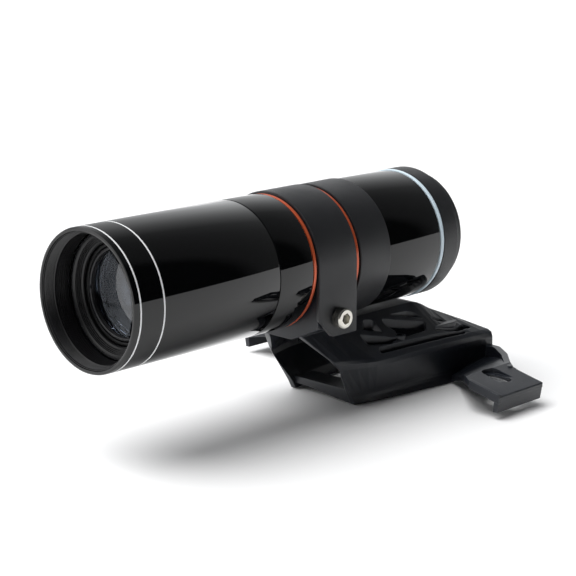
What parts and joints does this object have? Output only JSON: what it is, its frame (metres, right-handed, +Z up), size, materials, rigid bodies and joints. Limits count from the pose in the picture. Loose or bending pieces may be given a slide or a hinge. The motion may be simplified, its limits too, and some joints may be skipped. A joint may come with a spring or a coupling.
{
  "type": "guide camera",
  "caption": "Small refracting guide camera: a glossy tube with an inner lens cell and rear electronics, held by a strap in a hollow, ribbed bracket with slotted, swept-out feet.",
  "frame": {"origin": "midway between the two slots of the feet, on the feet's mid-plane", "axes": "+Y along the tube from the lens to the rear panel, +Z up from the feet to the tube, +X to the screw side seen in the picture"},
  "size_m": [0.1254, 0.173, 0.0784],
  "materials": {
    "gloss": "high-gloss black lacquer on the aluminium tube",
    "matte": "matte black, finely blasted and anodised",
    "moulding": "fine satin black, injection moulded",
    "inner": "dull anti-reflection black with a turned edge",
    "orange": "orange-red anodised, satin",
    "trim": "pale blue-white, smooth",
    "steel": "bright nickel, turned and knurled",
    "brass": "plain turned",
    "glass": "polished, with a green-violet coating",
    "board": "green solder mask",
    "sensor": "dark silicon under a thin cover",
    "liner": "thin black sleeve",
    "lamp": "clear lamp body"
  },
  "bodies": {
    "bracket": {"bracket": "moulding", "clamp_strap": "matte", "strap_liner": "liner", "insert_near": "brass", "insert_far": "brass"},
    "camera": {"front_tube": "gloss", "main_barrel": "gloss", "coupling_ring": "inner", "orange_ring_front": "orange", "orange_ring_rear": "orange", "rear_collar": "matte", "rear_tube": "gloss", "trim_ring": "trim", "rear_cap": "matte", "baffle_front": "inner", "baffle_rear": "inner", "sensor_plate": "matte", "sensor_window": "glass", "image_sensor": "sensor", "sensor_board": "board", "main_board": "board", "usb_socket": "steel", "aux_socket_left": "inner", "aux_socket_right": "inner", "status_led": "lamp", "cap_screw_a": "steel", "cap_screw_b": "steel", "cap_screw_c": "steel"},
    "focus_ring": {"focus_ring": "inner"},
    "lens_carriage": {"lens_cell": "inner", "retaining_ring": "inner", "lens_front": "glass", "lens_second": "glass", "lens_spacer": "inner", "lens_third": "glass", "lens_rear": "glass"},
    "screw_near": {"clamp_screw_near": "steel"},
    "screw_far": {"clamp_screw_far": "steel"}
  },
  "joints": [
    {"name": "camera_turn", "type": "hinge", "parent": "bracket", "child": "camera", "pos_m": [0, 0, 0.0443], "axis": [0, 1, 0], "range_deg": [-180, 180]},
    {"name": "focus_turn", "type": "hinge", "parent": "camera", "child": "focus_ring", "pos_m": [0, -0.1294, 0.0443], "axis": [0, 1, 0], "range_deg": [-60, 60]},
    {"name": "focus_slide", "type": "slide", "parent": "camera", "child": "lens_carriage", "axis": [0, 1, 0], "range_m": [-0.001, 0.001]},
    {"name": "screw_near_turn", "type": "hinge", "parent": "bracket", "child": "screw_near", "pos_m": [0.0244, -0.05385, 0.0271], "axis": [1, 0, 0], "range_deg": [-180, 180]},
    {"name": "screw_far_turn", "type": "hinge", "parent": "bracket", "child": "screw_far", "pos_m": [-0.0244, -0.05385, 0.0271], "axis": [1, 0, 0], "range_deg": [-180, 180]}
  ],
  "couplings": [
    {"joint": "focus_turn", "follows": "focus_slide", "rad_per_m": 1047.2}
  ]
}
